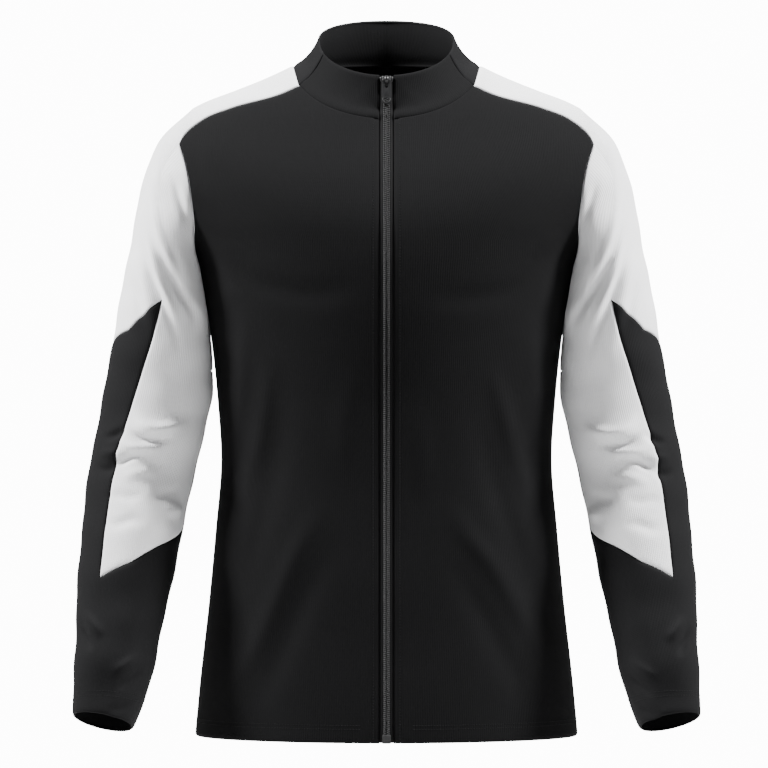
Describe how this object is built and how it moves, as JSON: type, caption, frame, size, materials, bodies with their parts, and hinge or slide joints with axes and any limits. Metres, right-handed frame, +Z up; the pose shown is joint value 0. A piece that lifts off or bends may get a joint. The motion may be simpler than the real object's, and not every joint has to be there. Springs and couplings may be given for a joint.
{
  "type": "track jacket",
  "caption": "Long-sleeved knit track jacket with a stand collar, full front zip and colour-blocked sleeves, hollow and filled out as if worn.",
  "frame": {"origin": "on the jacket's centre plane, level with the points where the neck meets the shoulders, where the wearer's shoulders carry it", "axes": "+Z up, the front faces -Y, +X is the wearer's left; the jacket hangs down to about z = -0.70 m"},
  "size_m": [0.6436, 0.263, 0.7546],
  "materials": {
    "black_knit": "smooth black double-knit polyester with a faint sheen",
    "charcoal_knit": "charcoal double-knit polyester with a fine rib",
    "white_knit": "white double-knit polyester with a fine vertical rib",
    "zip_tape": "woven dark grey zip tape",
    "zip_plastic": "dark grey moulded zip plastic",
    "zip_metal": "dark enamelled die-cast metal"
  },
  "bodies": {
    "jacket": {"front_left": "black_knit", "front_right": "black_knit", "back": "black_knit", "sleeve_upper_left": "white_knit", "sleeve_upper_right": "white_knit", "sleeve_lower_left": "charcoal_knit", "sleeve_lower_right": "charcoal_knit", "collar_front_left": "black_knit", "collar_front_right": "black_knit", "collar_back": "charcoal_knit", "zip_tape_left": "zip_tape", "zip_tape_right": "zip_tape", "zip_chain": "zip_plastic", "zip_slider": "zip_metal", "zip_stop_left": "zip_metal", "zip_stop_right": "zip_metal", "zip_box": "zip_plastic"},
    "pull": {"zip_pull": "zip_metal"}
  },
  "joints": [
    {"name": "pull_hinge", "type": "hinge", "parent": "jacket", "child": "pull", "pos_m": [0, -0.07011, -0.01436], "axis": [-1, 0, 0], "range_deg": [0, 160]}
  ]
}
